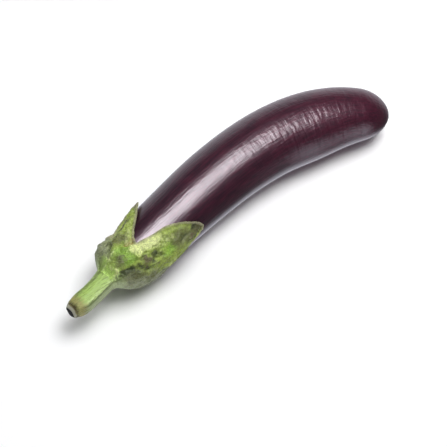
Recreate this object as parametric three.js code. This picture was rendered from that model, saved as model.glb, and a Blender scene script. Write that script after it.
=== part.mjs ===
// A long, curved eggplant lying on its side: the fruit, the green calyx that clasps its stem end,
// and the cut stem. Millimetres, +Z up. The fruit runs along X, from the stem end at -X to the
// blossom end at +X, and its curve bulges towards +Y.
import * as THREE from 'three';
import { ParametricGeometry } from 'three/addons/geometries/ParametricGeometry.js';

// Axis of the fruit, seen from above. Distances along it start at the fruit's stem end.
const FRUIT_LENGTH = 241;
const STEM_END_HEADING = 14.9;
const TURN_OF_AXIS = 52;
const TURN_POWER = 2.45;
const AXIS_STEP = 1;

// Radii of the fruit: four spans of one smooth curve, then a rounded cap at each end.
const FLANK_RADII = [17.7, 23.5, 20.5, 32.3, 13.3];
const STEM_CAP_LENGTH = 12;
const STEM_CAP_POWER = 2.4;
const BLOSSOM_CAP_LENGTH = 22.9;
const BLOSSOM_CAP_POWER = 2.87;
const STEM_END_TAPER = { depth: 5, from: 50 };

// A low swelling on the near lower side, just before the blossom end.
const SWELLING = { height: 1.7, station: 181, width: 25, angle: 116 };

// The belly is pressed flat where it rests, and both ends rise off the surface.
const BELLY_FLAT_DEPTH = 0.8;
const STEM_END_RISE = { height: 12, from: 80, power: 3.3 };
const BLOSSOM_END_RISE = { height: 5, from: 158, power: 2 };

// Calyx: a cup over the stem end, split into four lobes. Angles run round the axis from the top
// towards the near side, and distances run along the axis.
const CLEARANCE = 0.35;
const NECK_STATION = -6;
const NECK_RADIUS = 7.3;
const SHOULDER_FULLNESS = { mean: 17.4, more: 2.4, angle: -64 };
const CALYX_THICKNESS = 3.3;
const CALYX_RIB_HEIGHT = 0.6;
const CALYX_RIB_WIDTH = 9;
const NOTCH = { edge: 1.3, thinning: 1, lift: 0.2 };

// Each margin runs from one notch over the lobe's tip to the next notch, as pairs of an angle and
// a distance. The edge is a thickness, and the lift is how far the tip stands off the skin.
const LOBES = [
  {
    name: 'near',
    columns: 28,
    tip: 8,
    edge: 1.1,
    thinning: 3,
    lift: 0.8,
    margin: [
      [14, 19.5],
      [17, 24],
      [21.5, 29],
      [24.5, 35],
      [28, 41.5],
      [37, 49],
      [50, 56.5],
      [62, 62],
      [71, 63.5],
      [77, 61.4],
      [81, 56.5],
      [85, 47.5],
      [92, 38.5],
      [107, 32.5],
      [124, 23],
    ],
  },
  {
    name: 'under',
    columns: 16,
    tip: 3,
    edge: 1.1,
    thinning: 2,
    lift: 0.2,
    margin: [
      [124, 23],
      [136, 25.5],
      [150, 30.5],
      [164, 33],
      [178, 29],
      [190, 21.5],
      [200, 17],
    ],
  },
  {
    name: 'far',
    columns: 20,
    tip: 3,
    edge: 2.2,
    thinning: 2,
    lift: 1.2,
    margin: [
      [200, 17],
      [212, 22],
      [226, 30],
      [240, 36],
      [252, 33],
      [264, 27],
      [278, 20.5],
      [292, 16],
      [306, 15],
      [320, 15.5],
    ],
  },
  {
    name: 'top',
    columns: 24,
    tip: 6,
    edge: 0.8,
    thinning: 0.5,
    lift: 1.3,
    margin: [
      [320, 15.5],
      [309, 21.5],
      [303, 29],
      [298, 36],
      [297, 41.5],
      [299, 45],
      [304, 47.5],
      [316, 43],
      [330, 37.5],
      [339, 33],
      [348, 28.2],
      [358, 23.8],
      [367, 20.8],
      [374, 19.5],
    ],
  },
];

// Stem: ribbed, and slimmer at its cut end. It bows a little to the near side and then turns to
// the far side, and the cut is tilted so that it looks a little upwards.
const STEM_GAP = 0.3;
const STEM_CUT_STATION = -35.4;
const STEM_CUT_TILT = 0.3;
const STEM_RADII = [7.3, 6.7, 6.0, 8.6, 4.6];
const STEM_RIDGES = 5;
const STEM_RIDGE_HEIGHT = 0.35;
const STEM_SIDEWAYS = [0, 0.8, 0.9, 0.3, -1.3];
const STEM_DROOP = 1;

// How finely each surface is divided.
const FRUIT_SIDES = 56;
const STEM_CAP_RINGS = 8;
const FLANK_RINGS = 24;
const BLOSSOM_CAP_RINGS = 9;
const CALYX_SHOULDER_ROWS = 8;
const CALYX_LOBE_ROWS = 9;
const CALYX_EDGE_ROWS = 7;
const STEM_SIDES = 40;
const STEM_RINGS = 14;

const { clamp, degToRad, lerp, smoothstep } = THREE.MathUtils;

// Value at t, from 0 to 1, of the Bezier curve with these control values.
function bezier(values, t) {
  let row = values;
  while (row.length > 1) {
    row = row.slice(1).map((value, i) => lerp(row[i], value, t));
  }
  return row[0];
}

// Share of the full radius at a distance from the tip of a rounded cap.
function capShare(distance, length, power) {
  const x = 1 - clamp(distance / length, 0, 1);
  return Math.sqrt(Math.max(0, 1 - x ** power));
}

function flankRadius(station) {
  const taper = clamp(1 - station / STEM_END_TAPER.from, 0, 1);
  return (
    bezier(FLANK_RADII, clamp(station / FRUIT_LENGTH, 0, 1)) - STEM_END_TAPER.depth * taper ** 2
  );
}

function axisHeight(station) {
  const stemEnd = clamp(1 - station / STEM_END_RISE.from, 0, 1);
  const blossomSpan = FRUIT_LENGTH - BLOSSOM_END_RISE.from;
  const blossomEnd = clamp((station - BLOSSOM_END_RISE.from) / blossomSpan, 0, 1);
  return (
    flankRadius(station) -
    BELLY_FLAT_DEPTH +
    STEM_END_RISE.height * stemEnd ** STEM_END_RISE.power +
    BLOSSOM_END_RISE.height * blossomEnd ** BLOSSOM_END_RISE.power
  );
}

function headingAt(station) {
  const share = clamp(station / FRUIT_LENGTH, 0, 1);
  return degToRad(STEM_END_HEADING - TURN_OF_AXIS * share ** TURN_POWER);
}

// The axis is walked in short steps; before the fruit it runs straight on along the stem.
function axisAt(station) {
  const place = new THREE.Vector3(0, 0, axisHeight(Math.max(station, 0)));
  const steps = Math.max(1, Math.ceil(Math.abs(station) / AXIS_STEP));
  const step = station / steps;
  for (let i = 0; i < steps; i++) {
    const heading = headingAt((i + 0.5) * step);
    place.x += Math.cos(heading) * step;
    place.y += Math.sin(heading) * step;
  }
  return place;
}

// Puts target at a radius and an angle round the axis, in the section that crosses it at station.
function placeRound(target, centre, heading, radius, angle) {
  const sideways = radius * Math.sin(angle);
  target.set(
    centre.x + sideways * Math.sin(heading),
    centre.y - sideways * Math.cos(heading),
    Math.max(0, centre.z + radius * Math.cos(angle)),
  );
}

function skinRadius(station, angle) {
  const along = Math.exp(-(((station - SWELLING.station) / SWELLING.width) ** 2));
  const round = Math.max(0, Math.cos(angle - degToRad(SWELLING.angle))) ** 2;
  return (
    (flankRadius(station) + SWELLING.height * along * round) *
    capShare(station, STEM_CAP_LENGTH, STEM_CAP_POWER) *
    capShare(FRUIT_LENGTH - station, BLOSSOM_CAP_LENGTH, BLOSSOM_CAP_POWER)
  );
}

// Rings crowd together towards the tip of a rounded cap, where the outline turns fastest.
function capStation(share, length) {
  return length * (1 - Math.cos((Math.PI / 2) * share));
}

function ringStation(ring) {
  const afterStemCap = ring - STEM_CAP_RINGS;
  const afterFlank = afterStemCap - FLANK_RINGS;
  const flankEnd = FRUIT_LENGTH - BLOSSOM_CAP_LENGTH;
  if (afterStemCap < 0) {
    return capStation(ring / STEM_CAP_RINGS, STEM_CAP_LENGTH);
  }
  if (afterFlank < 0) {
    return lerp(STEM_CAP_LENGTH, flankEnd, afterStemCap / FLANK_RINGS);
  }
  return FRUIT_LENGTH - capStation(1 - afterFlank / BLOSSOM_CAP_RINGS, BLOSSOM_CAP_LENGTH);
}

function fruitGeometry() {
  const rings = STEM_CAP_RINGS + FLANK_RINGS + BLOSSOM_CAP_RINGS;
  return new ParametricGeometry(
    (u, v, target) => {
      const station = ringStation(Math.round(v * rings));
      const angle = 2 * Math.PI * u;
      placeRound(target, axisAt(station), headingAt(station), skinRadius(station, angle), angle);
    },
    FRUIT_SIDES,
    rings,
  );
}

// Columns of the calyx. Each one starts at an angle on the shoulder and ends at a point of the
// margin, which may lie at another angle.
function lobeColumns(lobe) {
  const margin = new THREE.SplineCurve(lobe.margin.map((point) => new THREE.Vector2(...point)));
  const first = lobe.margin[0][0];
  const span = lobe.margin[lobe.margin.length - 1][0] - first;
  const tipShare = lobe.tip / (lobe.margin.length - 1);
  const reach = lobe.margin[lobe.tip][1];
  return Array.from({ length: lobe.columns }, (_, i) => {
    const share = i / lobe.columns;
    const end = margin.getPoint(share);
    const within = smoothstep(Math.sin(Math.PI * share), 0, 0.6);
    const fromTip = (share - tipShare) * span;
    const tipward = clamp(1 - (reach - end.y) / (reach - lobe.margin[0][1]), 0, 1);
    return {
      angle: first + span * share,
      edgeAngle: end.x,
      edge: end.y,
      edgeThickness: lerp(NOTCH.edge, lobe.edge, within),
      thinning: lerp(NOTCH.thinning, lobe.thinning, within),
      lift: lerp(NOTCH.lift, lobe.lift, tipward ** 2),
      rib: CALYX_RIB_HEIGHT * Math.exp(-((fromTip / CALYX_RIB_WIDTH) ** 2)),
    };
  });
}

// How far the underside of the calyx stands off the axis, a share of the way to its edge.
function undersideRadius(station, share, lift) {
  const cap = capShare(station + CLEARANCE, STEM_CAP_LENGTH + CLEARANCE, STEM_CAP_POWER);
  return (flankRadius(Math.max(station, 0)) + CLEARANCE) * cap + lift * share ** 2;
}

// Rows of the underside, from the axis over the fruit's rounded end and out to the edge.
function undersidePoint(column, row) {
  const beyondCap = row - STEM_CAP_RINGS;
  if (beyondCap < 0) {
    const station = capStation(row / STEM_CAP_RINGS, STEM_CAP_LENGTH + CLEARANCE) - CLEARANCE;
    return { station, share: 0, radius: undersideRadius(station, 0, column.lift) };
  }
  const share = beyondCap / CALYX_EDGE_ROWS;
  const station = lerp(STEM_CAP_LENGTH, column.edge, share);
  return { station, share, radius: undersideRadius(station, share, column.lift) };
}

// The outside flares from the neck to the shoulder, then follows the underside out to the edge.
function outsidePoint(column, row) {
  const beyondShoulder = row - CALYX_SHOULDER_ROWS;
  if (beyondShoulder < 0) {
    const t = row / CALYX_SHOULDER_ROWS;
    const side = Math.cos(degToRad(column.angle - SHOULDER_FULLNESS.angle));
    const full = SHOULDER_FULLNESS.mean + SHOULDER_FULLNESS.more * side;
    const end = undersideRadius(STEM_CAP_LENGTH, 0, 0) + CALYX_THICKNESS;
    const radius = bezier([NECK_RADIUS, 7.8, full, end], t) + column.rib * smoothstep(t, 0.4, 1);
    return { station: bezier([NECK_STATION, -2, -1, STEM_CAP_LENGTH], t), share: 0, radius };
  }
  const share = beyondShoulder / CALYX_LOBE_ROWS;
  const station = lerp(STEM_CAP_LENGTH, column.edge, share);
  const thickness = lerp(CALYX_THICKNESS, column.edgeThickness, share ** column.thinning);
  const under = undersideRadius(station, share, column.lift);
  const rib = column.rib * (1 - smoothstep(share, 0.5, 1));
  return { station, share, radius: under + thickness + rib };
}

function calyxGeometry() {
  const columns = LOBES.flatMap(lobeColumns);
  const outsideRows = CALYX_SHOULDER_ROWS + CALYX_LOBE_ROWS;
  const undersideRows = STEM_CAP_RINGS + CALYX_EDGE_ROWS;
  const rows = outsideRows + undersideRows + 2;
  return new ParametricGeometry(
    (u, v, target) => {
      const column = columns[Math.round(u * columns.length) % columns.length];
      const row = Math.round(v * rows) - 1;
      let point = { station: NECK_STATION, share: 0, radius: 0 };
      if (row > outsideRows) {
        point = undersidePoint(column, rows - 1 - row);
      } else if (row >= 0) {
        point = outsidePoint(column, row);
      }
      const angle = degToRad(lerp(column.angle, column.edgeAngle, point.share ** 2));
      placeRound(target, axisAt(point.station), headingAt(point.station), point.radius, angle);
    },
    columns.length,
    rows,
  );
}

function stemGeometry() {
  const base = NECK_STATION - STEM_GAP;
  return new ParametricGeometry(
    (u, v, target) => {
      const row = Math.round(v * (STEM_RINGS + 2));
      const share = clamp((row - 1) / STEM_RINGS, 0, 1);
      const angle = 2 * Math.PI * u;
      const ridge = STEM_RIDGE_HEIGHT * Math.cos(STEM_RIDGES * angle);
      const onAxis = row === 0 || row === STEM_RINGS + 2;
      const radius = onAxis ? 0 : bezier(STEM_RADII, 1 - share) + ridge;
      const cut = STEM_CUT_STATION + STEM_CUT_TILT * radius * Math.cos(angle);
      const centre = axisAt(lerp(cut, base, share));
      const heading = headingAt(0);
      const sideways = bezier(STEM_SIDEWAYS, 1 - share);
      centre.x += sideways * Math.sin(heading);
      centre.y -= sideways * Math.cos(heading);
      centre.z -= STEM_DROOP * (1 - share) ** 2;
      placeRound(target, centre, heading, radius, angle);
    },
    STEM_SIDES,
    STEM_RINGS + 2,
  );
}

function namedMesh(name, geometry, color, roughness) {
  const material = new THREE.MeshStandardMaterial({ color, roughness, metalness: 0 });
  const mesh = new THREE.Mesh(geometry, material);
  mesh.name = name;
  return mesh;
}

const eggplant = new THREE.Group();
eggplant.add(namedMesh('fruit', fruitGeometry(), 0x3c1626, 0.15));
eggplant.add(namedMesh('calyx', calyxGeometry(), 0x7f9c3c, 0.6));
eggplant.add(namedMesh('stem', stemGeometry(), 0xa3c463, 0.6));

// The part's origin is the middle of its footprint, on the surface that it rests on.
const bounds = new THREE.Box3().setFromObject(eggplant, true);
const middle = bounds.getCenter(new THREE.Vector3());
eggplant.position.set(-middle.x, -middle.y, -bounds.min.z);

export default eggplant;
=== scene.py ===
"""A long, curved eggplant lying on its side: glossy fruit, lobed green calyx and cut stem."""
from functools import partial
from math import atan2, ceil, cos, degrees, exp, hypot, pi, radians, sin, sqrt

import bmesh
import bpy
from bpy.props import FloatProperty, FloatVectorProperty, PointerProperty
from mathutils import Matrix, Vector, kdtree, noise


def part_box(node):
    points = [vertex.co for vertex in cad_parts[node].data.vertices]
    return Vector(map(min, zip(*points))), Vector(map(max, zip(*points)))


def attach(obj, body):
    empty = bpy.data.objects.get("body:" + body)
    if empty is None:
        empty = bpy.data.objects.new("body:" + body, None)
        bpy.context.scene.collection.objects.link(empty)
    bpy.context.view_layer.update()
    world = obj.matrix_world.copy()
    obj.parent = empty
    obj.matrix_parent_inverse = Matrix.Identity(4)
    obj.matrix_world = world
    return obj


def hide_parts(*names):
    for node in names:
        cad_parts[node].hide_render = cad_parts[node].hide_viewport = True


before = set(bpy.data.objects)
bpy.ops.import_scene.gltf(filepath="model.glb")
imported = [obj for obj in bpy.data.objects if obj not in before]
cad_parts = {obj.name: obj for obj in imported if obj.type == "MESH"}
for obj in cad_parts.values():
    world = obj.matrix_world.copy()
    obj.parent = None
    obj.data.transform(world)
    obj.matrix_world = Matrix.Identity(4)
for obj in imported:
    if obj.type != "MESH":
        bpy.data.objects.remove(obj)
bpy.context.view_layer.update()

bl_info = {
    "name": "Eggplant",
    "version": (1, 0, 0),
    "blender": (4, 5, 0),
    "location": "View3D > Sidebar > Eggplant",
    "description": "Models a long eggplant with its calyx and stem round a packed frame",
    "category": "Add Mesh",
}

MM = 0.001

# Axis of the fruit, seen from above. Stations are distances along it from the fruit's stem end.
STEM_END_HEADING = radians(14.9)
TURN_OF_AXIS = radians(52)
TURN_POWER = 2.45
AXIS_STEP = 0.5 * MM
MERGE_DISTANCE = 1e-6

# Blender's noise mostly lies between these values. A mask's edge is broken up by this share of it.
NOISE_LOW, NOISE_HIGH = 0.34, 0.66
NOISE_SHARE = 0.45

# Calyx lobes. Each margin runs from one notch over the lobe's tip to the next notch, as pairs of an
# angle in degrees, round the axis from the top towards the near side, and a station. The edge is a
# thickness there, thinning tells how late the lobe thins, and the tip is lifted off the skin.
LOBES = {
    "near": {
        "share": 28, "tip": 8, "edge": 1.1 * MM, "thinning": 3, "lift": 0.8 * MM,
        "margin": (
            (14, 19.5), (17, 24), (21.5, 29), (24.5, 35), (28, 41.5), (37, 49), (50, 56.5),
            (62, 62), (71, 63.5), (77, 61.4), (81, 56.5), (85, 47.5), (92, 38.5), (107, 32.5),
            (124, 23),
        ),
    },
    "under": {
        "share": 16, "tip": 3, "edge": 1.1 * MM, "thinning": 2, "lift": 0.2 * MM,
        "margin": (
            (124, 23), (136, 25.5), (150, 30.5), (164, 33), (178, 29), (190, 21.5), (200, 17),
        ),
    },
    "far": {
        "share": 20, "tip": 3, "edge": 2.2 * MM, "thinning": 2, "lift": 1.2 * MM,
        "margin": (
            (200, 17), (212, 22), (226, 30), (240, 36), (252, 33), (264, 27), (278, 20.5),
            (292, 16), (306, 15), (320, 15.5),
        ),
    },
    "top": {
        "share": 24, "tip": 6, "edge": 0.8 * MM, "thinning": 0.5, "lift": 1.3 * MM,
        "margin": (
            (320, 15.5), (309, 21.5), (303, 29), (298, 36), (297, 41.5), (299, 45), (304, 47.5),
            (316, 43), (330, 37.5), (339, 33), (348, 28.2), (358, 23.8), (367, 20.8), (374, 19.5),
        ),
    },
}
NOTCH = {"edge": 1.3 * MM, "thinning": 1, "lift": 0.2 * MM}

# Ridges of the stem, by angle in degrees, with their height as a share of the ridge height.
STEM_RIDGES = ((48, 1.0), (120, 0.8), (188, 0.7), (250, 0.8), (312, 1.0))
# Raised welts (and sunk creases) of the calyx: height, width, then (station, angle in degrees)
# pairs along each one.
WELTS = (
    (1.0 * MM, 1.2 * MM, ((-9, -8), (-4.8, -9), (-2, -5), (4, -6), (9, -11))),
    (0.9 * MM, 1.0 * MM, ((-8, 42), (-3.5, 40), (-1.2, 36), (-1.4, 24), (-1.8, 12))),
    (1.1 * MM, 1.1 * MM, ((19, 15), (17.2, 15), (15.2, 24), (13.2, 34))),
    (-1.1 * MM, 1.5 * MM, ((-1, 46), (2.4, 46), (5.2, 44), (9.6, 58), (15.6, 68), (21, 74))),
    (-1.6 * MM, 1.2 * MM, ((1.6, -14), (5.2, -17), (7.6, -22), (12.4, -30), (16.4, -40))),
    (-0.8 * MM, 1.1 * MM, ((14, -26), (19.6, -34), (28.4, -46), (37.6, -56))),
    (0.7 * MM, 1.4 * MM, ((10, 62), (22, 64), (34, 66), (46, 69), (56, 70))),
    (0.6 * MM, 1.2 * MM, ((10, -18), (20, -24), (30, -38), (40, -52))),
)
# Blotches of the calyx, by kind: station, angle in degrees, radius along, radius around and cover.
BLOTCHES = {
    "cork": (
        (17.6, 50, 3, 2.6, 1), (14.6, 57, 1.8, 2, 0.7), (21.6, 66, 1.6, 1.8, 0.6),
        (51.6, 68, 2.6, 1.3, 0.9),
    ),
    # Dark green mottles, plus dark green painted shade in the creases between the top and far lobes
    # and in the pocket beside the stem.
    "dark": (
        (16, 42, 2.2, 1.6, 0.7), (23, 50, 2.8, 2.6, 0.9), (15.4, 64, 3.6, 2.2, 0.9),
        (11.2, 52, 2.8, 2.4, 0.9), (20.4, 58, 1.8, 1.8, 0.8), (27, 55, 3, 1.6, 0.5),
        (5, 47, 4.4, 2.4, 1), (1, 48, 3.6, 2.6, 1), (8.6, 62, 3, 1.6, 0.5), (6, 76, 2.6, 1.6, 0.4),
        (12, 80, 2.6, 1.6, 0.4), (49, 60, 2.4, 1.8, 0.7), (44, 63, 3, 1.6, 0.5),
        (45.6, 54, 3, 1.4, 0.5), (54, 76, 5, 1.2, 0.6), (57, 60, 3.5, 1.4, 0.6),
        (12, -29, 5, 1.4, 0.8), (6, -19, 3.4, 1.2, 0.8), (22, -37, 6, 1.1, 0.7),
        (31, -49, 6, 1.1, 0.6),
    ),
    "fresh": ((33, 60, 5.2, 5, 1), (9, 8, 7, 6, 1), (8.4, 27, 6, 4.5, 1),),
    "gold": ((18.4, 6, 3.4, 2.2, 1), (14, 3, 3.4, 2, 0.8),),
    "brown": ((59.5, 64, 5.6, 6, 1), (45, -54, 6, 4, 1), (5, 14, 3.4, 3, 0.4),),
    # Grey-green hairy tissue on the sides and underside, with the hairs' grazing sheen painted in
    # as colour.
    "fuzz_and_sheen": (
        (4, 86, 9, 9, 1), (16, 98, 9, 7, 1), (27, 106, 8, 6, 1), (5, -50, 9, 10, 1),
        (14, -55, 6, 8, 1), (10, -90, 14, 14, 1), (12, 150, 16, 18, 1), (12, 210, 16, 18, 1),
        (31, 240, 8, 10, 0.7),
    ),
    "olive": (
        (16.4, -13, 5.4, 4.4, 1), (12.4, -22, 5.4, 3, 1), (26, -34, 9, 2.4, 0.9),
        (3.6, 18, 5.2, 5, 0.8), (44, 57, 8, 6.4, 1), (53, 64, 7, 5, 1), (8, 66, 8, 4, 0.9),
        (27, 76, 7, 2.4, 0.6), (16, 86, 5, 3, 0.8),
    ),
    "pale": (
        (-1.6, 14, 1.1, 2.4, 0.8), (-1.4, 30, 1.1, 2.6, 0.8), (-3.4, 38, 3, 1, 0.7),
        (-4, -8, 5, 0.9, 0.8), (4, -6, 4.5, 0.9, 0.7), (22, 30, 9, 4.4, 0.5),
        (36, 48, 9, 1.8, 0.5),
    ),
}


def linear(hex_colour):
    """An sRGB hex colour as linear red, green and blue."""
    channels = [int(hex_colour[i : i + 2], 16) / 255 for i in (1, 3, 5)]
    return tuple(c / 12.92 if c <= 0.04045 else ((c + 0.055) / 1.055) ** 2.4 for c in channels)


def length(name, description, millimetres):
    return FloatProperty(
        name=name, description=description, default=millimetres * MM, unit="LENGTH", precision=5
    )


def lengths(name, description, millimetres):
    return FloatVectorProperty(
        name=name, description=description, default=[value * MM for value in millimetres],
        size=len(millimetres), unit="LENGTH",
    )


def turned(name, description, degrees_round):
    return FloatProperty(
        name=name, description=description, default=radians(degrees_round), subtype="ANGLE"
    )


def colour(name, description, hex_colour):
    return FloatVectorProperty(
        name=name, description=description, default=linear(hex_colour), subtype="COLOR", max=1
    )


class FruitSettings(bpy.types.PropertyGroup):
    length: length("Length", "Length of the fruit along its curved axis", 241)
    radii: lengths(
        "Flank radii", "Control radii of the flank, from the stem end to the blossom end",
        (17.7, 23.5, 20.5, 32.3, 13.3),
    )
    stem_cap: length("Stem cap", "Length of the rounded end inside the calyx", 12)
    blossom_cap: length("Blossom cap", "Length of the rounded free end", 22.9)
    swelling: length("Swelling", "Height of the low swelling before the blossom end", 1.7)
    belly_flat: length("Belly flat", "How deep the belly is pressed flat", 0.8)
    stem_taper: length("Stem end taper", "How much slimmer the stem end is", 5)
    stem_rise: length("Stem end rise", "How far the stem end rises off the surface", 12)
    blossom_rise: length("Blossom end rise", "How far the blossom end rises", 5)
    unevenness: length("Unevenness", "Height of the skin's slow rise and fall", 0.3)
    scar: length("Blossom scar", "Radius of the corky scar at the tip", 3.2)


class CalyxSettings(bpy.types.PropertyGroup):
    clearance: length("Clearance", "Gap between the calyx and the skin under it", 0.35)
    neck_radius: length("Neck radius", "Radius where the stem joins", 7.4)
    thickness: length("Thickness", "Thickness of the cup at its shoulder", 3.3)
    rib: length("Rib", "Height of the rib along each lobe", 0.6)
    ragged: length("Ragged edge", "How far the edge of the lobes strays", 0.6)
    curl: length("Edge curl", "How far the last millimetre of the edge turns up", 0.5)
    groove: length("Edge groove", "Depth of the groove that runs inside the edge", 0.6)
    lumps: length("Lumps", "Height of the lumps on the leaf tissue", 0.9)
    wrinkles: length("Wrinkles", "Height of the fine wrinkles", 0.5)


class StemSettings(bpy.types.PropertyGroup):
    cut_station: length("Cut station", "Where the stem is cut, along the axis", -35.4)
    cut_tilt: FloatProperty(
        name="Cut tilt", description="Slope of the cut, which looks a little upwards", default=0.3
    )
    radii: lengths(
        "Radii", "Control radii of the stem, from the calyx to the cut", (7.3, 6.7, 6.0, 8.6, 4.6)
    )
    sideways: lengths(
        "Sideways", "Control shifts to the near side, from the calyx to the cut",
        (0, 0.8, 0.9, 0.3, -1.3),
    )
    ridge: length("Ridge height", "Height of each ridge", 0.8)
    ridge_width: turned("Ridge width", "Angle that each ridge spans", 11)
    bark: length("Bark", "Height of the bark's fine streaks", 0.3)
    droop: length("Droop", "How far the cut end sinks", 1)


class ColourSettings(bpy.types.PropertyGroup):
    skin_dark: colour("Dark skin", "Aubergine near the stem end", "#210a17")
    skin_red: colour("Red skin", "Reddish purple towards the blossom end", "#401022")
    skin_sheen: colour("Skin sheen", "Tint of the skin's broad sheen", "#c08a9f")
    skin_scar: colour("Scar", "Cork of the blossom scar", "#7a5a3a")
    leaf_green: colour("Leaf green", "Green of the calyx", "#98ab4c")
    leaf_fresh: colour("Fresh green", "Freshest green of the calyx", "#87ab3c")
    leaf_pale: colour("Pale green", "Pale green near the notches", "#d8e198")
    leaf_olive: colour("Olive", "Olive mottling of the calyx", "#62653a")
    leaf_shade: colour("Green shade", "Small dark mottles of the calyx", "#4f5928")
    # Dark green of real mottles, also used as painted shade in the calyx's creases.
    leaf_dark_and_painted_shade: colour("Dark green", "Darkest mottling of the calyx", "#2c3214")
    # Grey-green of the hairy tissue, which also serves as a painted sheen on the calyx's grazing
    # sides.
    leaf_fuzz_and_painted_sheen: colour("Fuzz", "Grey-green hairy tissue low on the calyx", "#8b9072")
    leaf_brown: colour("Leaf brown", "Dried tips and spots", "#443c27")
    leaf_gold: colour("Gold", "Gold tint beside a notch", "#7d6a2c")
    leaf_cork: colour("Cork", "Corky scars", "#5d543a")
    leaf_rim: colour("Rim", "Dried rim of the lobes", "#a09c7c")
    stem_green: colour("Stem green", "Light green of the stem", "#a7c664")
    # Painted highlight on the stalk's two top ridges.
    stem_ridge: colour("Stem ridge", "Brightest ridges of the stem", "#c3da8c")
    # Painted shade in the stalk's grooves beside the top ridges, also used for the bark's real dark
    # speckles.
    stem_shade: colour("Stem shade", "Grooves of the stem", "#67783a")
    # Painted grey sheen on the stalk's lower sides.
    stem_side_painted_sheen: colour("Stem side", "Greyer lower sides of the stem", "#a6b384")
    stem_olive: colour("Stem olive", "Olive bark towards the cut", "#a39c5c")
    stem_brown: colour("Stem brown", "Dark bark at the cut", "#463a1e")
    pith: colour("Pith", "Pale pith in the cut face", "#c4c2a8")
    # Black of the lower part of the cut face.
    cut_dark: colour("Dried cut", "Dried lower part of the cut face", "#0d0a06")
    floor: colour("Floor", "Pale floor", "#fefefe")


class StageSettings(bpy.types.PropertyGroup):
    azimuth: turned("Azimuth", "Camera's turn round the part", -36.11)
    elevation: turned("Elevation", "Camera's height above the horizon", 55)
    distance: length("Distance", "From the camera to the point it looks at", 718)
    lens: FloatProperty(name="Lens", description="Focal length in millimetres", default=85)
    floor_size: length("Floor size", "Side of the square floor", 6000)


class EggplantSettings(bpy.types.PropertyGroup):
    fruit: PointerProperty(type=FruitSettings)
    calyx: PointerProperty(type=CalyxSettings)
    stem: PointerProperty(type=StemSettings)
    colours: PointerProperty(type=ColourSettings)
    stage: PointerProperty(type=StageSettings)


def clamp(value, low=0.0, high=1.0):
    return max(low, min(high, value))


def lerp(a, b, t):
    return a + (b - a) * t


def smoothstep(value, low, high):
    t = clamp((value - low) / (high - low))
    return t * t * (3 - 2 * t)


def bezier(values, t):
    """Value at t, from 0 to 1, of the Bezier curve with these control values."""
    row = list(values)
    while len(row) > 1:
        row = [lerp(a, b, t) for a, b in zip(row, row[1:])]
    return row[0]


def bell(distance, width):
    return exp(-((distance / width) ** 2))


def cap_share(distance, cap_length, power):
    """Share of the full radius at a distance from the tip of a rounded cap."""
    return sqrt(max(0.0, 1 - (1 - clamp(distance / cap_length)) ** power))


def cap_station(share, cap_length):
    """Ring stations that crowd together towards the tip of a rounded cap."""
    return cap_length * (1 - cos(pi / 2 * share))


class Body:
    """The bent axis that all three pieces are shaped round, placed in the frame."""

    STEM_CAP_POWER = 2.4
    BLOSSOM_CAP_POWER = 2.87
    STEM_TAPER_FROM = 50 * MM
    STEM_RISE_FROM = 80 * MM
    STEM_RISE_POWER = 3.3
    BLOSSOM_RISE_FROM = 158 * MM
    SWELLING_STATION = 181 * MM
    SWELLING_WIDTH = 25 * MM
    SWELLING_ANGLE = radians(116)
    PROBES = 240

    def __init__(self, settings):
        self.fruit = settings.fruit
        self.length = settings.fruit.length
        self.radii = list(settings.fruit.radii)
        self.walk = [Vector((0, 0))]
        for i in range(ceil(self.length / AXIS_STEP)):
            heading = self.heading((i + 0.5) * AXIS_STEP)
            self.walk.append(self.walk[-1] + AXIS_STEP * Vector((cos(heading), sin(heading))))
        self.origin = Vector((0, 0))
        self.origin = self.offset_to_frame()

    def offset_to_frame(self):
        """Lines the fruit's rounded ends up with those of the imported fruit."""
        low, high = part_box("fruit")
        across, along = [], []
        for i in range(self.PROBES + 1):
            station = self.length * i / self.PROBES
            for angle in (-pi / 2, pi / 2):
                place = self.place(station, self.skin_radius(station, angle), angle)
                along.append(place.x)
                across.append(place.y)
        middle = Vector(((min(along) + max(along)) / 2, (min(across) + max(across)) / 2))
        return (low.xy + high.xy) / 2 - middle

    def heading(self, station):
        return STEM_END_HEADING - TURN_OF_AXIS * clamp(station / self.length) ** TURN_POWER

    def centre(self, station):
        if station < 0:
            heading = self.heading(0)
            flat = self.walk[0] + station * Vector((cos(heading), sin(heading)))
        else:
            steps = min(station / AXIS_STEP, len(self.walk) - 1.001)  # stays before the last
            flat = self.walk[int(steps)].lerp(self.walk[int(steps) + 1], steps % 1)
        return Vector((*(flat + self.origin), self.height(max(station, 0))))

    def height(self, station):
        fruit = self.fruit
        stem_end = clamp(1 - station / self.STEM_RISE_FROM)
        blossom_span = self.length - self.BLOSSOM_RISE_FROM
        blossom_end = clamp((station - self.BLOSSOM_RISE_FROM) / blossom_span)
        rise = fruit.stem_rise * stem_end**self.STEM_RISE_POWER
        rise += fruit.blossom_rise * blossom_end**2
        return self.flank(station) - fruit.belly_flat + rise

    def flank(self, station):
        taper = clamp(1 - station / self.STEM_TAPER_FROM)
        return bezier(self.radii, clamp(station / self.length)) - self.fruit.stem_taper * taper**2

    def skin_radius(self, station, angle):
        along = bell(station - self.SWELLING_STATION, self.SWELLING_WIDTH)
        round_axis = max(0.0, cos(angle - self.SWELLING_ANGLE)) ** 2
        return (
            (self.flank(station) + self.fruit.swelling * along * round_axis)
            * cap_share(station, self.fruit.stem_cap, self.STEM_CAP_POWER)
            * cap_share(self.length - station, self.fruit.blossom_cap, self.BLOSSOM_CAP_POWER)
        )

    def place(self, station, radius, angle, shift=Vector()):
        """The point at a radius and angle round the axis, never below the floor."""
        heading = self.heading(station)
        point = self.centre(station) + shift
        point += radius * sin(angle) * Vector((sin(heading), -cos(heading), 0))
        point.z = max(0.0, point.z + radius * cos(angle))
        return point


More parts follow.
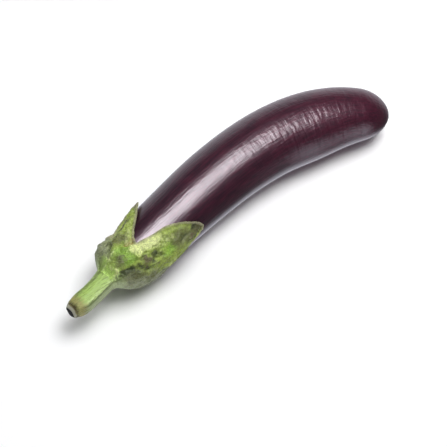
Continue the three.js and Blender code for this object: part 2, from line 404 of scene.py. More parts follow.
def add_node(tree, kind, inputs=(), stops=(), **settings):
    """Adds a shader node with its settings, its inputs as values or links, and its ramp stops.

    Inputs are in the node's own order or keyed by name or place. MapRange takes the value and the
    limits that it maps from and to. Places 0, 6 and 7 of a Mix are the factor and the two colours.
    A node stands for its first output.
    """
    node = tree.nodes.new("ShaderNode" + kind)
    for name, value in settings.items():
        setattr(node, name, value)
    for key, value in inputs.items() if isinstance(inputs, dict) else enumerate(inputs):
        socket = node.inputs[key]
        if isinstance(value, bpy.types.Node):
            value = next(output for output in value.outputs if output.enabled)
        if isinstance(value, bpy.types.NodeSocket):
            tree.links.new(value, socket)
        else:
            socket.default_value = (*value, 1) if socket.type == "RGBA" else value
    if stops:
        elements = node.color_ramp.elements
        while len(elements) < len(stops):
            elements.new(1)
        for element, (position, value) in zip(elements, stops):
            element.position = position
            element.color = (*value, 1)
    return node


def parts_of(add, attribute_name):
    """The three values that the piece's own attribute of this name holds."""
    vector = add("Attribute", attribute_name=attribute_name).outputs["Vector"]
    return add("SeparateXYZ", (vector,)).outputs


def new_material(name):
    """A named material with an empty tree, and the function that adds nodes to it."""
    material = bpy.data.materials.new(name)
    material.use_nodes = True
    material.node_tree.nodes.clear()
    return material, partial(add_node, material.node_tree)


def new_object(name, bm, material):
    """Turns a finished bmesh into an object of one material."""
    mesh = bpy.data.meshes.new(name)
    bm.to_mesh(mesh)
    bm.free()
    mesh.materials.append(material)
    made = bpy.data.objects.new(name, mesh)
    bpy.context.collection.objects.link(made)
    return made


def finish_piece(name, bm, material, node_name):
    """Makes the smooth-shaded piece that replaces a CAD node and rides on the same body."""
    piece = new_object(name, bm, material)
    piece.data.shade_smooth()
    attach(piece, "root")
    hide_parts(node_name)


def close_surface(bm):
    """Merges seams and poles and turns every face outwards."""
    bmesh.ops.remove_doubles(bm, verts=bm.verts, dist=MERGE_DISTANCE)
    bmesh.ops.recalc_face_normals(bm, faces=bm.faces)


def spin_outline(points, sides):
    """A closed solid of revolution about X, from pairs of a station and a radius."""
    bm = bmesh.new()
    outline = [bm.verts.new((station, 0, radius)) for station, radius in points]
    edges = [bm.edges.new(pair) for pair in zip(outline, outline[1:])]
    bmesh.ops.spin(
        bm, geom=outline + edges, cent=(0, 0, 0), axis=(1, 0, 0), angle=2 * pi, steps=sides,
        use_merge=True,
    )
    close_surface(bm)
    return bm


def skin_material(colours):
    """Ripe eggplant skin: a thin waxy cuticle over dark purple flesh cells.

    The wax gives sharp reflections, and the cells under it show as fine lengthwise streaks.
    """
    material, add = new_material("waxy_eggplant_skin")
    straight = add("Attribute", attribute_name="straight").outputs["Vector"]
    station, _, rise = parts_of(add, "straight")
    # Streaks are about 1 mm wide round the fruit and 10 mm long, blotches about 20 mm across.
    streak_place = add("Mapping", {0: straight, "Scale": (0.11, 1, 1)})
    streaks = add("TexNoise", {0: streak_place, "Scale": 900, "Detail": 3})
    blotches = add("TexNoise", {0: straight, "Scale": 45, "Detail": 4})
    along = add("MapRange", (station, 20 * MM, 215 * MM, 0.0, 0.75))
    streaked = add("MapRange", (streaks, 0.3, 0.7, -0.5, 0.5))
    blotched = add("MapRange", (blotches, 0.3, 0.7, -0.12, 0.12))
    redness = add("Math", (along, streaked), operation="ADD")
    redness = add("Math", (redness, blotched), operation="ADD", use_clamp=True)
    skin = add("Mix", {0: redness, 6: colours.skin_dark, 7: colours.skin_red}, data_type="RGBA")
    # Shallow ripples cross the fruit every 3 mm or so and break the highlight up, more so
    # towards the blossom end and on the upper side.
    ripple_place = add("Mapping", {0: straight, "Scale": (1, 0.3, 0.3)})
    ripples = add("TexNoise", {0: ripple_place, "Scale": 330, "Detail": 2})
    rippled = add("MapRange", (station, 95 * MM, 160 * MM, 0.1, 0.6))
    upper_side = add("MapRange", (rise, 4 * MM, 16 * MM, 0.3))
    rippled = add("Math", (rippled, upper_side), operation="MULTIPLY")
    bump = add("Bump", {"Height": ripples, "Strength": rippled, "Distance": 0.6 * MM})
    bump = add("Bump", {"Height": streaks, "Strength": 0.6, "Distance": 0.3 * MM, "Normal": bump})
    scar = add("Attribute", attribute_name="scar").outputs["Fac"]
    skin = add("Mix", {0: scar, 6: skin, 7: colours.skin_scar}, data_type="RGBA")
    roughness = add("MapRange", (scar, 0, 1, 0.42, 0.8))
    shader = add(
        "BsdfPrincipled",
        {
            "Base Color": skin, "Roughness": roughness, "IOR": 1.45, "Normal": bump,
            "Specular Tint": colours.skin_sheen, "Coat Weight": 1.0, "Coat Roughness": 0.24,
            "Coat IOR": 1.45, "Coat Normal": bump,
        },
    )
    add("OutputMaterial", {"Surface": shader})
    return material


class EGGPLANT_OT_fruit(bpy.types.Operator):
    """Spin the fruit's outline, bend it along its axis and press its belly flat"""

    bl_idname = "eggplant.fruit"
    bl_label = "Fruit"

    SIDES = 160
    CAP_RINGS = 22
    FLANK_RINGS = 170
    # Rises and falls of the skin per metre along the fruit, and round it.
    UNEVEN_ALONG = 28
    UNEVEN_ROUND = 0.9
    SCAR_RAGGED = 0.25
    SCAR_EDGE = 0.4 * MM

    def stations(self, body):
        """Stations of the rings, crowded together in both rounded ends."""
        cap, blossom_cap = body.fruit.stem_cap, body.fruit.blossom_cap
        stem_end = [cap_station(i / self.CAP_RINGS, cap) for i in range(self.CAP_RINGS)]
        flank_end = body.length - blossom_cap
        flank = [lerp(cap, flank_end, i / self.FLANK_RINGS) for i in range(self.FLANK_RINGS)]
        blossom_end = [
            body.length - cap_station(1 - i / self.CAP_RINGS, blossom_cap)
            for i in range(self.CAP_RINGS + 1)
        ]
        return stem_end + flank + blossom_end

    def execute(self, context):
        settings = context.scene.eggplant
        body = Body(settings)
        points = [(station, body.skin_radius(station, 0)) for station in self.stations(body)]
        bm = spin_outline(points, self.SIDES)
        straight = bm.verts.layers.float_vector.new("straight")
        scar = bm.verts.layers.float.new("scar")
        for vert in bm.verts:
            vert[straight] = vert.co
            self.bend(vert, scar, body)
        finish_piece("Fruit", bm, skin_material(settings.colours), "fruit")
        return {"FINISHED"}

    def bend(self, vert, scar, body):
        station, side, rise = vert.co
        angle = atan2(-side, rise)
        radius = body.skin_radius(station, angle)
        side, rise = sin(angle) * self.UNEVEN_ROUND, cos(angle) * self.UNEVEN_ROUND
        uneven = noise.noise(Vector((station * self.UNEVEN_ALONG, side, rise)))
        full = smoothstep(radius, 0, body.fruit.stem_cap)
        radius += body.fruit.unevenness * uneven * full
        ragged = self.SCAR_RAGGED * noise.noise(Vector((cos(angle), sin(angle), 3.1)))
        inside = body.fruit.scar * (1 + ragged) - radius
        at_tip = station > body.length / 2
        vert[scar] = smoothstep(inside, -self.SCAR_EDGE, self.SCAR_EDGE) if at_tip else 0
        vert.co = body.place(station, radius, angle)


def spline(points, t):
    """Point at t, from 0 to 1, of the smooth curve through these points."""
    place = t * (len(points) - 1)
    i = min(int(place), len(points) - 2)
    t = place - i
    start, end = Vector(points[i]), Vector(points[i + 1])
    leave = (end - Vector(points[max(i - 1, 0)])) / 2
    arrive = (Vector(points[min(i + 2, len(points) - 1)]) - start) / 2
    return (
        start + leave * t + (3 * (end - start) - 2 * leave - arrive) * t**2
        + (2 * (start - end) + leave + arrive) * t**3
    )


class Leaf:
    """The calyx as columns round the axis, each with its own end on the margin."""

    NECK_STATION = -6 * MM
    SHOULDER = (-2 * MM, -1 * MM)
    NECK_FLARE = 7.8 * MM
    FULLNESS = (17.4 * MM, 2.4 * MM, radians(-64))
    SHOULDER_SHARE = 0.36
    RIB_WIDTH = 9
    CAP_PART = 0.45
    CURL_WIDTH = 1 * MM
    # A blotch is too faint to matter at this many times its radius.
    BLOTCH_REACH = 3

    def __init__(self, settings, body):
        self.settings = settings.calyx
        self.stem = settings.stem
        self.body = body
        self.cap = settings.fruit.stem_cap

    def column(self, u):
        """The column at u, from 0 to 1, round the calyx."""
        place = u * sum(lobe["share"] for lobe in LOBES.values())
        for lobe in LOBES.values():
            if place < lobe["share"]:
                break
            place -= lobe["share"]
        share = place / lobe["share"]
        margin = lobe["margin"]
        first, span = margin[0][0], margin[-1][0] - margin[0][0]
        reach = margin[lobe["tip"]][1]
        end = spline(margin, share)
        angle = radians(first + span * share)
        inside = smoothstep(sin(pi * share), 0, 0.6)
        tipward = clamp(1 - (reach - end.y) / (reach - margin[0][1]))
        stray = noise.fractal(Vector((end.x * 0.35, end.y * 0.35, 0)) * 0.8, 1.0, 2.0, 3)
        return {
            "angle": angle,
            "edge_angle": radians(end.x),
            "edge": end.y * MM + self.settings.ragged * stray,
            "edge_thickness": lerp(NOTCH["edge"], lobe["edge"], inside),
            "thinning": lerp(NOTCH["thinning"], lobe["thinning"], inside),
            "lift": lerp(NOTCH["lift"], lobe["lift"], tipward**2),
            "rib": bell((share - lobe["tip"] / (len(margin) - 1)) * span, self.RIB_WIDTH),
        }

    def margin_tree(self, count):
        """Places along the margin, to find how far any point is from the edge."""
        tree = kdtree.KDTree(count)
        for i in range(count):
            column = self.column(i / count)
            _, _, radius = self.outside(column, 1)
            tree.insert(self.body.place(column["edge"], radius, column["edge_angle"]), i)
        tree.balance()
        return tree

    def angle(self, column, share):
        return lerp(column["angle"], column["edge_angle"], share**2)

    def under(self, station, share, lift):
        """Radius of the underside, a share of the way from the cap to the edge."""
        gap = self.settings.clearance
        cap = cap_share(station + gap, self.cap + gap, self.body.STEM_CAP_POWER)
        return (self.body.flank(max(station, 0)) + gap) * cap + lift * share**2

    def outside(self, column, v):
        """Station, share and radius of the outside, from the neck at v = 0 to the edge at v = 1."""
        settings = self.settings
        if v < self.SHOULDER_SHARE:
            t = v / self.SHOULDER_SHARE
            mean, more, fullest = self.FULLNESS
            full = mean + more * cos(column["angle"] - fullest)
            end = self.under(self.cap, 0, 0) + settings.thickness
            station = bezier([self.NECK_STATION, *self.SHOULDER, self.cap], t)
            radius = bezier([settings.neck_radius, self.NECK_FLARE, full, end], t)
            radius += settings.rib * column["rib"] * smoothstep(t, 0.4, 1)
            ridge = stem_ridge(self.stem, column["angle"]) * (1 - smoothstep(t, 0.3, 0.9))
            return station, 0, radius + ridge
        share = (v - self.SHOULDER_SHARE) / (1 - self.SHOULDER_SHARE)
        station = lerp(self.cap, column["edge"], share)
        thickness = lerp(settings.thickness, column["edge_thickness"], share ** column["thinning"])
        rib = settings.rib * column["rib"] * (1 - smoothstep(share, 0.5, 1))
        return station, share, self.under(station, share, column["lift"]) + thickness + rib

    def inside(self, column, v):
        """Station, share and radius of the underside, from the edge at v = 0 to the axis at 1."""
        if v > 1 - self.CAP_PART:
            share = (1 - v) / self.CAP_PART
            gap = self.settings.clearance
            station = cap_station(share, self.cap + gap) - gap
            return station, 0, self.under(station, 0, 0)
        share = 1 - v / (1 - self.CAP_PART)
        station = lerp(self.cap, column["edge"], share)
        curl = self.settings.curl * bell(column["edge"] - station, self.CURL_WIDTH)
        return station, share, self.under(station, share, column["lift"]) + curl

    def welts(self, station, angle, radius):
        """Height that the welts and creases add at a point of the outside."""
        total = 0
        for height, width, path in WELTS:
            places = [self.offset(station, angle, radius, *place) for place in path]
            nearest = min(origin_to_segment(*pair) for pair in zip(places, places[1:]))
            total += height * bell(nearest, width)
        return total

    @staticmethod
    def offset(station, angle, radius, other_millimetres, other_degrees):
        """From a point of the outside to another, unrolled flat."""
        turn = (radians(other_degrees) - angle + pi) % (2 * pi) - pi
        return Vector((other_millimetres * MM - station, turn * radius))

    def blotches(self, station, angle, radius):
        """How much of each kind of blotch covers a point of the outside."""
        cover = dict.fromkeys(BLOTCHES, 0.0)
        for kind, spots in BLOTCHES.items():
            for other_station, degrees_round, along, around, opacity in spots:
                way = self.offset(station, angle, radius, other_station, degrees_round)
                away = hypot(way.x / (along * MM), way.y / (around * MM))
                if away < self.BLOTCH_REACH:
                    cover[kind] = 1 - (1 - cover[kind]) * (1 - opacity * bell(away, 1))
        return cover


def wander(point):
    """Two values of noise, for shifting a pattern along and around."""
    return Vector((noise.noise(point), noise.noise(point + Vector((17.3, 5.1, 9.7)))))


def origin_to_segment(start, end):
    """Distance from the origin to the segment between two points."""
    way = end - start
    return (start + way * clamp(-start.dot(way) / way.length_squared)).length


def stem_ridge(stem, angle):
    """Height of the stem's ridges at an angle round it."""
    total = 0
    for degrees_round, share in STEM_RIDGES:
        turn = (radians(degrees_round) - angle + pi) % (2 * pi) - pi
        total += share * (bell(turn, stem.ridge_width) + 0.35 * bell(turn, 3 * stem.ridge_width))
    return stem.ridge * (total - 0.6)


def weather(add, under, over, mask, noise_value, opacity=0.9):
    """Lays a colour over another where a mask shows it, the mask's soft edge broken by noise."""
    total = add("Math", (noise_value, NOISE_SHARE, mask), operation="MULTIPLY_ADD")
    factor = add("MapRange", {0: total, 1: NOISE_SHARE, 2: 1.0, 4: opacity})
    return add("Mix", {0: factor, 6: under, 7: over}, data_type="RGBA")


def patchiness(add, place, scale, detail):
    """Noise stretched so that its usual values reach from 0 to 1."""
    value = add("TexNoise", {0: place, "Scale": scale, "Detail": detail})
    return add("MapRange", (value, NOISE_LOW, NOISE_HIGH))


def stalk_colour(add, colours, place):
    """Colour round the stalk's girth: green, painted ridge highlights, olive painted groove shade,
    grey painted side sheen.
    """
    sine, cosine, _ = parts_of(add, "round")
    turn = add("Math", (sine, cosine), operation="ARCTAN2")
    ragged = add("TexNoise", {0: place, "Scale": 420, "Detail": 3})
    ragged = add("Math", (ragged, 0.5, -0.25), operation="MULTIPLY_ADD")
    turn = add("Math", (turn, ragged), operation="ADD")
    # The ridge colour is a painted highlight, the groove colour painted shade and the side colour a
    # painted grey sheen.
    green, bright = colours.stem_green, colours.stem_ridge
    groove, side = colours.stem_shade, colours.stem_side_painted_sheen
    return add(
        "ValToRGB", (add("MapRange", (turn, -pi, pi)),),
        stops=(
            (0.0, side), (0.31, side), (0.36, bright), (0.39, groove), (0.44, green),
            (0.6, green), (0.64, bright), (0.67, groove), (0.72, side), (1.0, side),
        ),
    )


def leaf_material(colours):
    """Fresh calyx tissue: thick, softly hairy leaf, mottled olive and brown with age.

    The fine hairs give pale rims at a grazing angle, and their grey sheen is also painted as colour
    on the grazing sides; the wax is thin, so it is almost matt.
    """
    material, add = new_material("hairy_calyx_leaf")
    place = add("TexCoord").outputs["Object"]
    from_edge, reach, neck = parts_of(add, "leaf")
    cork, dark, fresh = parts_of(add, "marks")
    gold, brown, pale = parts_of(add, "tints")
    fuzz_and_sheen, olive, _ = parts_of(add, "tissue")
    # Patches are about 7 mm across, mottles 3 mm and fibres 1 mm.
    patches = patchiness(add, place, 150, 3)
    mottles = patchiness(add, place, 380, 4)
    fibres = add("TexNoise", {0: place, "Scale": 1100, "Detail": 3})
    green = weather(add, colours.leaf_green, colours.leaf_fresh, fresh, patches, 1.0)
    aged = add("Math", (reach, 0.25), operation="MULTIPLY")
    # Olive age, grey-green fuzz with its painted grazing sheen, gold, olive and brown go over the
    # green.
    for over, mask, broken_by in (
        (colours.leaf_olive, aged, patches), (colours.leaf_fuzz_and_painted_sheen, fuzz_and_sheen, patches),
        (colours.leaf_gold, gold, mottles), (colours.leaf_olive, olive, mottles),
        (colours.leaf_brown, brown, mottles),
    ):
        green = weather(add, green, over, mask, broken_by)
    # The neck takes the stalk's colour, with its painted ridge highlights, groove shade and side
    # sheen.
    stalk = stalk_colour(add, colours, place)
    green = add("Mix", {0: neck, 6: green, 7: stalk}, data_type="RGBA")
    green = weather(add, green, colours.leaf_pale, pale, mottles, 0.95)
    worn = add("Math", (reach, 0.2), operation="MULTIPLY")
    # The dark blotches lay real dark mottles and also painted shade in the creases and the pocket
    # beside the stem.
    for over, mask in (
        (colours.leaf_shade, worn), (colours.leaf_dark_and_painted_shade, dark), (colours.leaf_cork, cork)
    ):
        green = weather(add, green, over, mask, mottles)
    # The dried rim is a little under 2 mm wide.
    at_edge = add("MapRange", {0: from_edge, 1: 1.8 * MM, 2: 0.8 * MM, 4: 0.75})
    green = add("Mix", {0: at_edge, 6: green, 7: colours.leaf_rim}, data_type="RGBA")
    grain = add("MapRange", (fibres, 0.35, 0.65, 0.78, 1.22))
    mottled = add("MapRange", {0: mottles, 3: 0.72, 4: 1.2})
    mottled = add("Mix", {0: neck, 2: mottled, 3: 1.15})
    grain = add("Math", (grain, mottled), operation="MULTIPLY")
    green = add("VectorMath", {0: green, "Scale": grain}, operation="SCALE")
    bump = add("Bump", {"Height": fibres, "Strength": 0.8, "Distance": 0.6 * MM})
    shader = add(
        "BsdfPrincipled",
        {
            "Base Color": green, "Roughness": 0.5, "IOR": 1.4, "Specular IOR Level": 0.25,
            "Sheen Weight": 0.2, "Sheen Roughness": 0.4, "Normal": bump,
        },
    )
    add("OutputMaterial", {"Surface": shader})
    return material


class EGGPLANT_OT_calyx(bpy.types.Operator):
    """Wrap a grid round the stem end as a lobed cup with a closed, rounded edge"""

    bl_idname = "eggplant.calyx"
    bl_label = "Calyx"

    COLUMNS = 440
    OUTSIDE_ROWS = 150
    INSIDE_ROWS = 34
    MARGIN_POINTS = 3520
    # Noise scales are per metre, so 190 gives lumps about 5 mm apart.
    LUMPS_SCALE = 190
    WRINKLES_SCALE = 420
    WARP = 1.6 * MM
    WARP_SCALES = (260, 620)
    CORK_RISE = 0.9 * MM
    DARK_SINK = 0.5 * MM
    # How far inside the edge the groove and the pale band lie, and how wide they are.
    GROOVE = (2.4 * MM, 1.0 * MM)
    PALE_BAND = (3.5 * MM, 4.5 * MM)
    # Stations between which the pale band fades out, age sets in and the stalk's bark ends.
    PALE_FADES = (26 * MM, 42 * MM)
    AGE_SETS_IN = (6 * MM, 26 * MM)
    BARK_ENDS = (-4 * MM, 3 * MM)
    # Degrees round the axis over which the pale band sets in.
    PALE_SIDE = (8, 16)

    def execute(self, context):
        settings = context.scene.eggplant
        leaf = Leaf(settings, Body(settings))
        columns = [leaf.column(i / self.COLUMNS) for i in range(self.COLUMNS)]
        margin = leaf.margin_tree(self.MARGIN_POINTS)
        rows = self.OUTSIDE_ROWS + self.INSIDE_ROWS + 2
        bm = bmesh.new()
        bmesh.ops.create_grid(bm, x_segments=self.COLUMNS, y_segments=rows, size=0.5)
        names = ("leaf", "marks", "tints", "tissue", "round")
        layers = [bm.verts.layers.float_vector.new(name) for name in names]
        for vert in bm.verts:
            column = columns[round((vert.co.x + 0.5) * self.COLUMNS) % self.COLUMNS]
            row = round((vert.co.y + 0.5) * rows) - 1
            self.wrap(vert, layers, leaf, margin, column, row)
        close_surface(bm)
        finish_piece("Calyx", bm, leaf_material(settings.colours), "calyx")
        return {"FINISHED"}

    def wrap(self, vert, layers, leaf, margin, column, row):
        """Moves a vertex of the grid onto the cup: the closed neck, the outside or the inside."""
        if row < 0:
            vert.co = leaf.body.place(leaf.NECK_STATION, 0, column["angle"])
        elif row > self.OUTSIDE_ROWS:
            v = (row - self.OUTSIDE_ROWS - 1) / self.INSIDE_ROWS
            station, share, radius = leaf.inside(column, v)
            vert.co = leaf.body.place(station, radius, leaf.angle(column, share))
        else:
            self.shape_outside(vert, layers, leaf, margin, column, row / self.OUTSIDE_ROWS)

    def shape_outside(self, vert, layers, leaf, margin, column, v):
        """Places a vertex of the outside with its relief, and notes what covers it."""
        station, share, radius = leaf.outside(column, v)
        angle = leaf.angle(column, share)
        point = leaf.body.place(station, radius, angle)
        from_edge = margin.find(point)[2]
        coarse, fine = self.WARP_SCALES
        warp = self.WARP * (wander(point * coarse) + 0.6 * wander(point * fine))
        cover = leaf.blotches(station + warp.x, angle + warp.y / radius, radius)
        settings = leaf.settings
        full = smoothstep(v, 0.1, 0.3)
        thin = 1 - 0.6 * smoothstep(from_edge, 4 * MM, 0)
        lumps = noise.fractal(point * self.LUMPS_SCALE, 0.8, 2.1, 3)
        wrinkles = (
            noise.ridged_multi_fractal(point * self.WRINKLES_SCALE, 0.9, 2.0, 3, 1.0, 1.6) - 1
        )
        radius += settings.lumps * lumps * full * thin + settings.wrinkles * wrinkles * full * thin
        radius += leaf.welts(station + 0.5 * warp.x, angle + 0.5 * warp.y / radius, radius) * thin
        radius += settings.curl * bell(from_edge, leaf.CURL_WIDTH)
        radius -= settings.groove * bell(from_edge - self.GROOVE[0], self.GROOVE[1]) * full
        radius += (self.CORK_RISE * cover["cork"] - self.DARK_SINK * cover["dark"]) * thin
        vert.co = leaf.body.place(station, radius, angle)
        reach = smoothstep(station, *self.AGE_SETS_IN)
        turn = degrees(angle + pi) % 360 - 180
        pale = bell(from_edge - self.PALE_BAND[0], self.PALE_BAND[1])
        pale *= 1 - smoothstep(station, *self.PALE_FADES)
        pale = max(pale * lerp(0.3, 1, smoothstep(turn, *self.PALE_SIDE)), cover["pale"])
        neck = 1 - smoothstep(station + 1.5 * warp.x, *self.BARK_ENDS)
        values = (
            (from_edge, reach, neck),
            (cover["cork"], cover["dark"], cover["fresh"]),
            (cover["gold"], cover["brown"], pale * (1 - cover["fuzz_and_sheen"])),
            (cover["fuzz_and_sheen"], cover["olive"], 0),
            (sin(angle), cos(angle), 0),
        )
        for layer, value in zip(layers, values):
            vert[layer] = value


def stem_material(colours):
    """Fresh eggplant stalk: ribbed, rough bark, light green, browned where it was cut.

    The cut face is pale pith above and black on its lower part.
    """
    material, add = new_material("ribbed_green_stalk")
    place = add("TexCoord").outputs["Object"]
    to_cut, face, across = parts_of(add, "stalk")
    patches = patchiness(add, place, 300, 4)
    # Streaks run along the stalk, about 1 mm wide and 7 mm long.
    along_stalk = add(
        "Mapping", {0: place, "Rotation": (0, 0, -STEM_END_HEADING), "Scale": (0.15, 1, 1)}
    )
    streaks = add("TexNoise", {0: along_stalk, "Scale": 900, "Detail": 3})
    streaky = add("MapRange", (streaks, NOISE_LOW, NOISE_HIGH))
    # The bark starts from the stalk's colour, with its painted ridge highlights, groove shade and
    # side sheen.
    bark = stalk_colour(add, colours, place)
    # The last 9 mm or so turn olive, and the last 4 mm brown.
    olive = add("MapRange", (to_cut, 9.5 * MM, 3 * MM))
    bark = weather(add, bark, colours.stem_olive, olive, streaky)
    brown = add("MapRange", (to_cut, 3.2 * MM, -0.6 * MM))
    bark = weather(add, bark, colours.stem_brown, brown, patches, 0.95)
    spots = add("MapRange", {0: streaky, 1: 0.66, 2: 0.92, 4: 0.7})
    bark = add("Mix", {0: spots, 6: bark, 7: colours.stem_shade}, data_type="RGBA")
    streaked = add("MapRange", {0: streaky, 3: 0.74, 4: 1.14})
    bark = add("VectorMath", {0: bark, "Scale": streaked}, operation="SCALE")
    # The cut face is black on its lower part, with pale pith above it.
    cut = add(
        "ValToRGB", (add("MapRange", (across, -1.0, 1.0)),),
        stops=(
            (0.0, colours.cut_dark), (0.32, colours.cut_dark), (0.38, colours.pith),
            (0.66, colours.pith), (0.76, colours.stem_olive), (1.0, colours.stem_brown),
        ),
    )
    on_face = add("MapRange", (face, 0.0, 0.08))
    shown = add("Mix", {0: on_face, 6: bark, 7: cut}, data_type="RGBA")
    bump = add("Bump", {"Height": streaks, "Strength": 0.8, "Distance": 0.8 * MM})
    shader = add(
        "BsdfPrincipled",
        {
            "Base Color": shown, "Roughness": 0.5, "IOR": 1.4, "Specular IOR Level": 0.3,
            "Sheen Weight": 0.15, "Normal": bump,
        },
    )
    add("OutputMaterial", {"Surface": shader})
    return material


class EGGPLANT_OT_stem(bpy.types.Operator):
    """Spin the stem, raise its ridges, bend it and close it with the tilted cut"""

    bl_idname = "eggplant.stem"
    bl_label = "Stem"

    SIDES = 180
    RINGS = 90
    # How far the stem reaches into the calyx past its neck.
    ROOT = 2.2 * MM
    # Direction round the axis that faces the camera, for the cut's paler half.
    FACING = radians(26)
    # Profile of the cut face: depth of the hollow and share of the radius, from the axis out.
    CUT_FACE = (
        (0.8 * MM, 0.0), (0.75 * MM, 0.2), (0.6 * MM, 0.4), (0.4 * MM, 0.58), (0.15 * MM, 0.72),
        (0.0, 0.84), (0.05 * MM, 0.93),
    )
    BARK_FROM = 0.4 * MM
    # What counts as the cut face: how deep, and how far out as a share of the radius.
    FACE_DEPTH = 0.9 * MM
    FACE_SHARE = 0.97
    # Noise scales are per metre, for streaks about 2 mm and 7 mm wide, drawn out along the stem.
    BARK_SCALES = (600, 150)
    BARK_STRETCH = 0.15

    def execute(self, context):
        settings = context.scene.eggplant
        stem = settings.stem
        cut = stem.cut_station
        base = Leaf.NECK_STATION + self.ROOT
        points = [(cut + depth, stem.radii[-1] * share) for depth, share in self.CUT_FACE]
        for i in range(self.RINGS + 1):
            station = lerp(cut + self.BARK_FROM, base, i / self.RINGS)
            points.append((station, bezier(stem.radii, 1 - self.share(stem, station))))
        points.append((base, 0.0))
        bm = spin_outline(points, self.SIDES)
        layers = [bm.verts.layers.float_vector.new(name) for name in ("stalk", "round")]
        body = Body(settings)
        for vert in bm.verts:
            self.shape(vert, layers, stem, body)
        finish_piece("Stem", bm, stem_material(settings.colours), "stem")
        return {"FINISHED"}

    @staticmethod
    def share(stem, station):
        """Share of the way from the cut to the calyx's neck."""
        return clamp((station - stem.cut_station) / (Leaf.NECK_STATION - stem.cut_station))

    def shape(self, vert, layers, stem, body):
        station, side, rise = vert.co
        angle, radius = atan2(-side, rise), hypot(side, rise)
        share = self.share(stem, station)
        cut_radius = stem.radii[-1]
        full = smoothstep(radius, 0, cut_radius)
        ridge = stem_ridge(stem, angle) * full * lerp(0.5, 1, smoothstep(share, 0, 0.3))
        around = Vector((station * self.BARK_STRETCH, radius * cos(angle), radius * sin(angle)))
        fine, coarse = self.BARK_SCALES
        bark = stem.bark * noise.fractal(around * fine, 0.9, 2.0, 3) * full
        bark += 0.6 * stem.bark * noise.fractal(around * coarse, 0.9, 2.0, 2) * full
        heading = body.heading(0)
        sideways = bezier(stem.sideways, 1 - share)
        shift = sideways * Vector((sin(heading), -cos(heading), 0))
        shift.z = -stem.droop * (1 - share) ** 2
        tilt = stem.cut_tilt * radius * cos(angle) * (1 - share)
        vert.co = body.place(station + tilt, radius + ridge + bark, angle, shift)
        to_cut = station - stem.cut_station
        on_face = to_cut < self.FACE_DEPTH and radius < self.FACE_SHARE * cut_radius
        vert[layers[0]] = (
            to_cut,
            1 - radius / cut_radius if on_face else 0.0,
            cos(angle - self.FACING) * radius / cut_radius,
        )
        vert[layers[1]] = (sin(angle), cos(angle), 0)


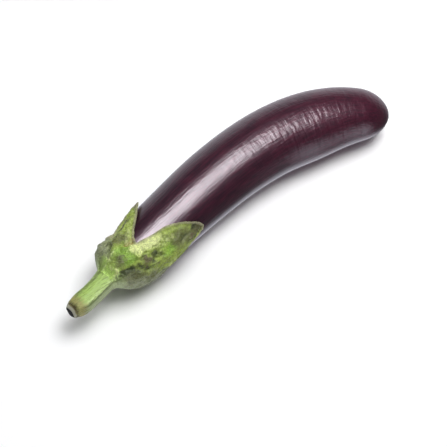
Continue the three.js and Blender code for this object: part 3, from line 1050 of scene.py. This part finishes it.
class EGGPLANT_OT_stage(bpy.types.Operator):
    """Lay the pale floor, hang the soft lights and set up the camera"""

    bl_idname = "eggplant.stage"
    bl_label = "Stage"

    LOOK_AT = Vector((-9.47, -14.02, 0)) * MM
    SENSOR = 36
    # Lights hang level and face down: name, metres to the right of and away from the point that the
    # camera looks at, height, sides, watts, degrees turned from the camera's azimuth, tone, and
    # what the light leaves out. The softbox only reflects, and the other two only light.
    LIGHTS = (
        (
            "Softbox", 0.169, -0.142, 0.7, (0.51, 0.52), 17.6, 51, (0.95, 0.98, 1.0),
            "visible_diffuse",
        ),
        ("Overhead light", 0.3, 0.26, 1.6, (1.8, 1.8), 18.5, 0, (1, 1, 1), "visible_glossy"),
        ("Key light", 0.45, 0.15, 1.2, (0.7, 0.7), 10.5, 0, (1, 1, 1), "visible_glossy"),
    )
    # The studio as the skin reflects it: a dim room above, a dim wall on the near side, a pale
    # one on the far side, and a bright table below.
    ROOM = (0.07, 0.07, 0.085)
    DIM_WALL = (0.08, 0.08, 0.09)
    PALE_WALL = (0.78, 0.77, 0.84)
    TABLE = (2.1, 2.1, 2.35)
    # How much higher the walls reach on the far side, and how the table's edge leans with height.
    WALL_SLANT = -0.36
    TABLE_SLANT = 0.35
    STEEP_TABLE = 0.45

    def execute(self, context):
        settings = context.scene.eggplant
        self.lay_floor(settings)
        for light in self.LIGHTS:
            self.hang(settings.stage, *light)
        context.scene.world = self.studio_world(settings.stage)
        self.aim_camera(context, settings.stage)
        context.scene.view_settings.view_transform = "Standard"
        return {"FINISHED"}

    def lay_floor(self, settings):
        material, add = new_material("matt_white_paper")
        shader = add("BsdfPrincipled", {"Base Color": settings.colours.floor, "Roughness": 0.9})
        add("OutputMaterial", {"Surface": shader})
        bm = bmesh.new()
        bmesh.ops.create_grid(bm, x_segments=1, y_segments=1, size=settings.stage.floor_size / 2)
        floor = new_object("Floor", bm, material)
        floor.visible_glossy = False

    def view_axes(self, stage):
        """Right, away and back directions of the camera's view, for placing the lights."""
        a, e = stage.azimuth, stage.elevation
        right = Vector((cos(a), sin(a), 0))
        away = Vector((-sin(a), cos(a), 0))
        back = Vector((sin(a) * cos(e), -cos(a) * cos(e), sin(e)))
        return right, away, back

    def hang(self, stage, name, right, away, height, sides, watts, turn, tone, left_out):
        to_right, to_far_side, _ = self.view_axes(stage)
        data = bpy.data.lights.new(name, "AREA")
        data.shape = "RECTANGLE"
        data.size, data.size_y = sides
        data.energy = watts
        data.color = tone
        light = bpy.data.objects.new(name, data)
        place = self.LOOK_AT + right * to_right + away * to_far_side + Vector((0, 0, height))
        turn = Matrix.Rotation(stage.azimuth + radians(turn), 4, "Z")
        light.matrix_world = Matrix.Translation(place) @ turn
        setattr(light, left_out, False)
        bpy.context.collection.objects.link(light)

    def studio_world(self, stage):
        """The plain world, by how high a direction looks and how far towards the far side."""
        _, away, _ = self.view_axes(stage)
        world = bpy.data.worlds.new("Studio")
        world.use_nodes = True
        world.node_tree.nodes.clear()
        add = partial(add_node, world.node_tree)
        direction = add("TexCoord").outputs["Generated"]
        height = add("SeparateXYZ", (direction,)).outputs["Z"]
        towards = add("VectorMath", (direction, tuple(away)), operation="DOT_PRODUCT")
        dim, pale = self.DIM_WALL, self.PALE_WALL
        walls = add(
            "ValToRGB", (add("MapRange", (towards, -1.0, 1.0)),),
            stops=((0.0, dim), (0.7, dim), (0.9, pale), (1.0, pale)),
        )
        tilted = add("Math", (towards, self.WALL_SLANT, height), operation="MULTIPLY_ADD")
        high = add("MapRange", (tilted, -0.01, 0.26))
        studio = add("Mix", {0: high, 6: walls, 7: self.ROOM}, data_type="RGBA")
        # The table shows low on the near side, and fainter steeply below.
        leaning = add("Math", (height, self.TABLE_SLANT, towards), operation="MULTIPLY_ADD")
        near = add("MapRange", (leaning, -0.585, -0.69))
        below = add("MapRange", (height, 0.1, -0.05))
        steep = add("MapRange", {0: height, 1: -0.78, 2: -0.9, 4: self.STEEP_TABLE})
        table = add("Math", (near, below, steep), operation="MULTIPLY_ADD")
        studio = add("Mix", {0: table, 6: studio, 7: self.TABLE}, data_type="RGBA")
        background = add("Background", {"Color": studio, "Strength": 1.0})
        add("OutputWorld", {"Surface": background})
        return world

    def aim_camera(self, context, stage):
        _, _, back = self.view_axes(stage)
        data = bpy.data.cameras.new("Camera")
        data.lens = stage.lens
        data.sensor_width = self.SENSOR
        data.clip_end = 100
        camera = bpy.data.objects.new("Camera", data)
        camera.location = self.LOOK_AT + stage.distance * back
        camera.rotation_euler = back.to_track_quat("Z", "Y").to_euler()
        context.collection.objects.link(camera)
        context.scene.camera = camera


class EGGPLANT_PT_parts(bpy.types.Panel):
    bl_idname = "EGGPLANT_PT_parts"
    bl_label = "Eggplant"
    bl_space_type = "VIEW_3D"
    bl_region_type = "UI"
    bl_category = "Eggplant"

    def draw(self, context):
        settings = context.scene.eggplant
        for group, operator in zip(
            (settings.fruit, settings.calyx, settings.stem, settings.stage), OPERATORS
        ):
            box = self.layout.box()
            for name in group.bl_rna.properties.keys():
                if name not in ("rna_type", "name"):
                    box.prop(group, name)
            box.operator(operator.bl_idname)
        for name in settings.colours.bl_rna.properties.keys():
            if name not in ("rna_type", "name"):
                self.layout.prop(settings.colours, name)


OPERATORS = (EGGPLANT_OT_fruit, EGGPLANT_OT_calyx, EGGPLANT_OT_stem, EGGPLANT_OT_stage)
CLASSES = (
    FruitSettings, CalyxSettings, StemSettings, ColourSettings, StageSettings, EggplantSettings,
    *OPERATORS, EGGPLANT_PT_parts,
)


def register():
    for cls in CLASSES:
        bpy.utils.register_class(cls)
    bpy.types.Scene.eggplant = PointerProperty(type=EggplantSettings)


def unregister():
    del bpy.types.Scene.eggplant
    for cls in reversed(CLASSES):
        bpy.utils.unregister_class(cls)


def main():
    register()
    bpy.ops.eggplant.fruit()
    bpy.ops.eggplant.calyx()
    bpy.ops.eggplant.stem()
    bpy.ops.eggplant.stage()


if __name__ == "__main__":
    main()
